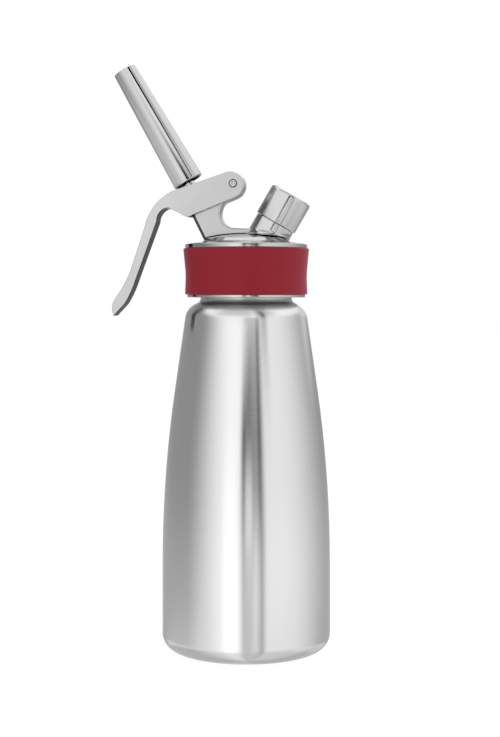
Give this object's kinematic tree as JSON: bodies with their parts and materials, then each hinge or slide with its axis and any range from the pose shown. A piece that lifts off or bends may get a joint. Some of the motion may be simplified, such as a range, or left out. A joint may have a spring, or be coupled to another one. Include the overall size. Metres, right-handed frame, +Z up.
{
  "type": "whipped cream dispenser",
  "caption": "Stainless steel whipped cream dispenser: tapered bottle, red-banded screw head with squeeze lever, leaning nozzle tube and capped charger connection.",
  "frame": {"origin": "centre of the bottle's base, on the plane it stands on", "axes": "+Z up along the bottle's axis, -X toward the nozzle and the lever, +X toward the charger connection, Y across the head's plane of symmetry"},
  "size_m": [0.1259, 0.097, 0.3386],
  "materials": {
    "brushed_body": "vertically brushed stainless steel",
    "satin_steel": "satin cast stainless steel",
    "brushed_nozzle": "lengthwise brushed stainless steel",
    "brushed_cap": "turned stainless steel",
    "polished_steel": "polished stainless steel",
    "red_silicone": "smooth dark red silicone",
    "grey_silicone": "soft grey silicone",
    "black_rubber": "black moulded rubber",
    "brass": "plain turned brass"
  },
  "bodies": {
    "bottle": {"bottle": "brushed_body"},
    "gasket": {"head_gasket": "grey_silicone"},
    "head": {"head_casting": "satin_steel", "grip_band": "red_silicone", "lever_pin": "polished_steel", "valve_guide": "brass", "stem_ring": "black_rubber", "spring_seat": "polished_steel", "valve_spring": "polished_steel", "check_valve_plug": "brass", "check_valve_sleeve": "black_rubber", "pin_holder": "brass", "piercing_pin": "polished_steel", "piercing_seal": "black_rubber"},
    "lever": {"lever": "satin_steel"},
    "stem": {"valve_stem": "polished_steel", "valve_washer": "black_rubber", "valve_disc": "polished_steel", "stem_collar": "polished_steel"},
    "nozzle_ring": {"nozzle_seal": "black_rubber"},
    "nozzle": {"nozzle": "brushed_nozzle"},
    "liner": {"cap_liner": "black_rubber"},
    "cap": {"charger_cap": "brushed_cap"}
  },
  "joints": [
    {"name": "head_lift", "type": "slide", "parent": "bottle", "child": "gasket", "axis": [0, 0, 1], "range_m": [0, 0.012]},
    {"name": "head_turn", "type": "hinge", "parent": "gasket", "child": "head", "pos_m": [0, 0, 0.2], "axis": [0, 0, 1], "range_deg": [0, 1082]},
    {"name": "lever_squeeze", "type": "hinge", "parent": "head", "child": "lever", "pos_m": [-0.0069, 0, 0.2686], "axis": [0, -1, 0], "range_deg": [0, 10], "stiffness_Nm_per_rad": 2, "springref_deg": -6.88},
    {"name": "stem_slide", "type": "slide", "parent": "head", "child": "stem", "axis": [0.5, 0, -0.866], "range_m": [0, 0.0041], "deforming": ["valve_spring"]},
    {"name": "nozzle_lift", "type": "slide", "parent": "stem", "child": "nozzle_ring", "axis": [-0.5, 0, 0.866], "range_m": [0, 0.009]},
    {"name": "nozzle_turn", "type": "hinge", "parent": "nozzle_ring", "child": "nozzle", "pos_m": [-0.0335, 0, 0.27002], "axis": [-0.5, 0, 0.866], "range_deg": [0, 2164]},
    {"name": "cap_lift", "type": "slide", "parent": "head", "child": "liner", "axis": [0.5, 0, 0.866], "range_m": [0, 0.01575]},
    {"name": "cap_turn", "type": "hinge", "parent": "liner", "child": "cap", "pos_m": [0.02, 0, 0.25114], "axis": [0.5, 0, 0.866], "range_deg": [0, 3786]}
  ],
  "couplings": [
    {"joint": "head_turn", "follows": "head_lift", "rad_per_m": 1570.8},
    {"joint": "stem_slide", "follows": "lever_squeeze", "m_per_rad": 0.022918},
    {"joint": "nozzle_turn", "follows": "nozzle_lift", "rad_per_m": 4188.8},
    {"joint": "cap_turn", "follows": "cap_lift", "rad_per_m": 4188.8}
  ]
}
